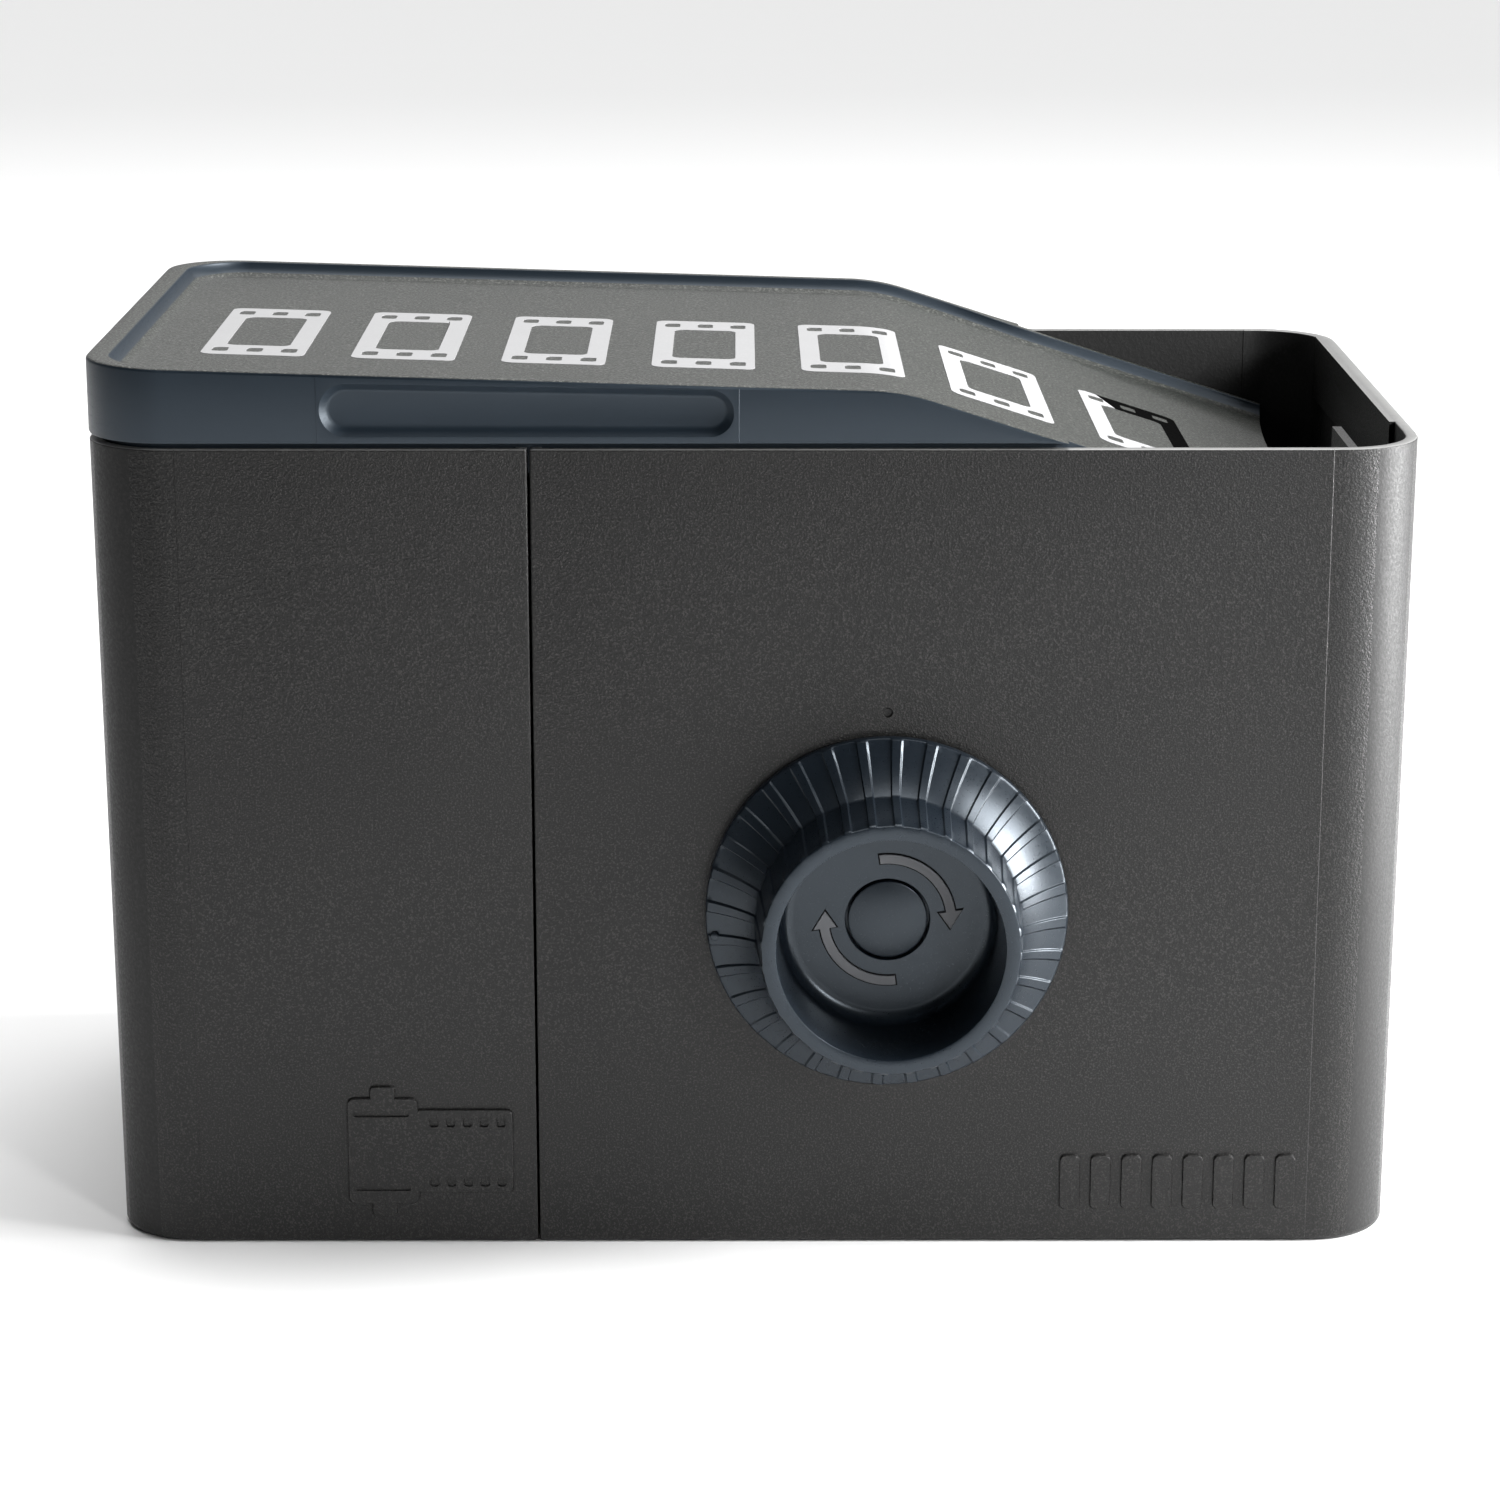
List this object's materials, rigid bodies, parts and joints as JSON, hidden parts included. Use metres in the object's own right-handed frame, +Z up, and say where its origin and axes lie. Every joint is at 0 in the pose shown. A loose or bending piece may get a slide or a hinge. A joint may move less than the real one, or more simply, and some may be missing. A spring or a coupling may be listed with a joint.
{
  "type": "daylight film developing tank",
  "caption": "Daylight-loading film developing tank: box with a lift-off loading module, a sloping lid over a pouring trough, and a winding knob that turns a spiral reel.",
  "frame": {"origin": "middle of the base, on the surface the tank stands on", "axes": "+X from the loading module towards the pouring trough, +Y from the knob side to the back, +Z up"},
  "size_m": [0.17, 0.1202, 0.117],
  "materials": {
    "body_plastic": "fine moulded grain, satin",
    "lid_plastic": "satin sides, sparkle-grained top",
    "knob_plastic": "semi-gloss",
    "inner_plastic": "matt black",
    "reel_plastic": "satin off-white",
    "steel": "brushed",
    "rubber": "matt",
    "velvet": "short black pile",
    "ribbon": "thin flexible strip"
  },
  "bodies": {
    "tank": {"tank_body": "body_plastic", "pour_weir": "inner_plastic", "shaft_bush": "inner_plastic", "shaft_seal_ring": "rubber", "gland_cap": "inner_plastic", "reel_rest": "inner_plastic"},
    "module": {"module_shell": "body_plastic", "film_guide_lower": "inner_plastic", "film_guide_upper": "inner_plastic", "velvet_lower": "velvet", "velvet_upper": "velvet", "counter_blade": "steel", "counter_screw_1": "steel", "counter_screw_2": "steel", "guide_screw_1": "steel", "guide_screw_2": "steel", "cassette_cradle": "inner_plastic", "cradle_screw_1": "steel", "cradle_screw_2": "steel", "cutter_bush": "inner_plastic", "cutter_return_spring": "steel"},
    "cutter": {"cutter_shaft": "steel", "blade_carrier": "inner_plastic", "cutter_blade": "steel", "cutter_lever": "knob_plastic", "lever_screw": "steel"},
    "lid": {"lid_shell": "lid_plastic", "lid_light_baffle": "inner_plastic"},
    "reel": {"reel_core": "reel_plastic", "reel_flange_front": "reel_plastic", "reel_flange_rear": "reel_plastic", "reel_axle": "steel", "pull_ribbon": "ribbon", "film_clip": "steel"},
    "knob": {"knob": "knob_plastic", "knob_cap": "knob_plastic", "knob_screw": "steel", "winding_shaft": "steel", "stop_collar": "steel"}
  },
  "joints": [
    {"name": "winding", "type": "hinge", "parent": "tank", "child": "reel", "pos_m": [0.0171, 0, 0.0461], "axis": [0, 1, 0], "continuous": true},
    {"name": "knob_pull", "type": "slide", "parent": "reel", "child": "knob", "axis": [0, -1, 0], "range_m": [0, 0.014]},
    {"name": "module_lift", "type": "slide", "parent": "tank", "child": "module", "axis": [0, 0, 1], "range_m": [0, 0.1]},
    {"name": "lid_lift", "type": "slide", "parent": "module", "child": "lid", "axis": [0, 0, 1], "range_m": [0, 0.045]},
    {"name": "cutter_swing", "type": "hinge", "parent": "module", "child": "cutter", "pos_m": [-0.045, 0, 0.097], "axis": [0, 1, 0], "range_deg": [0, 50], "stiffness_Nm_per_rad": 0.03, "springref_deg": -14.32}
  ]
}
